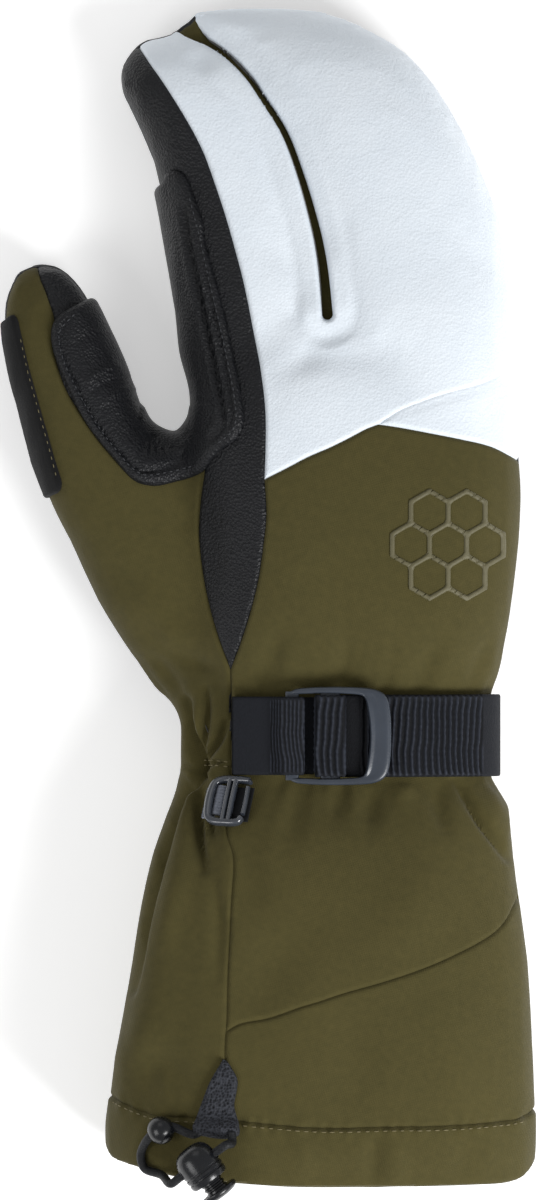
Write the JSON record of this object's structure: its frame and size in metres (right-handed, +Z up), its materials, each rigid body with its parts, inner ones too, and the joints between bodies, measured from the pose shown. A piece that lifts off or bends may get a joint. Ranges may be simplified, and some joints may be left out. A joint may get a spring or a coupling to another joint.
{
  "type": "ski glove",
  "caption": "Insulated right-hand glove with a separate index finger, a mitten for the other fingers, a long cuff, a wrist strap and a cord lock.",
  "frame": {"origin": "middle of the underside, under the centre of the glove's outline", "axes": "+Z up through the back of the hand, +Y from the cuff towards the fingertips, thumb towards -X"},
  "size_m": [0.1592, 0.357, 0.0719],
  "materials": {
    "white_leather": "satin",
    "black_leather": "satin",
    "suede": "matte",
    "olive_cloth": "matte",
    "webbing": "matte",
    "cord": "matte",
    "print_rubber": "satin",
    "black_plastic": "satin"
  },
  "bodies": {
    "glove": {"leather_back": "white_leather", "knuckle_panel": "white_leather", "index_side": "black_leather", "thumb_front": "black_leather", "palm": "black_leather", "thumb_palm": "black_leather", "grip_patch": "black_leather", "nose_wipe": "suede", "slit_gusset": "olive_cloth", "hand_back": "olive_cloth", "thumb_back": "olive_cloth", "cuff_back_upper": "olive_cloth", "cuff_back_lower": "olive_cloth", "cuff_side": "olive_cloth", "cuff_palm": "olive_cloth", "cuff_hem": "olive_cloth", "cord_tab": "webbing", "strap_left": "webbing", "strap_right": "webbing", "hook_tape": "webbing", "drawcord": "cord", "back_print": "print_rubber", "buckle": "black_plastic", "glove_hook": "black_plastic", "cord_lock_barrel": "black_plastic", "cord_bead": "black_plastic"},
    "lock_button": {"cord_lock_button": "black_plastic"}
  },
  "joints": [
    {"name": "lock_press", "type": "slide", "parent": "glove", "child": "lock_button", "axis": [-0.5962, 0.802, 0.0363], "range_m": [0, 0.003], "stiffness_N_per_m": 500, "springref_m": -0.002}
  ]
}
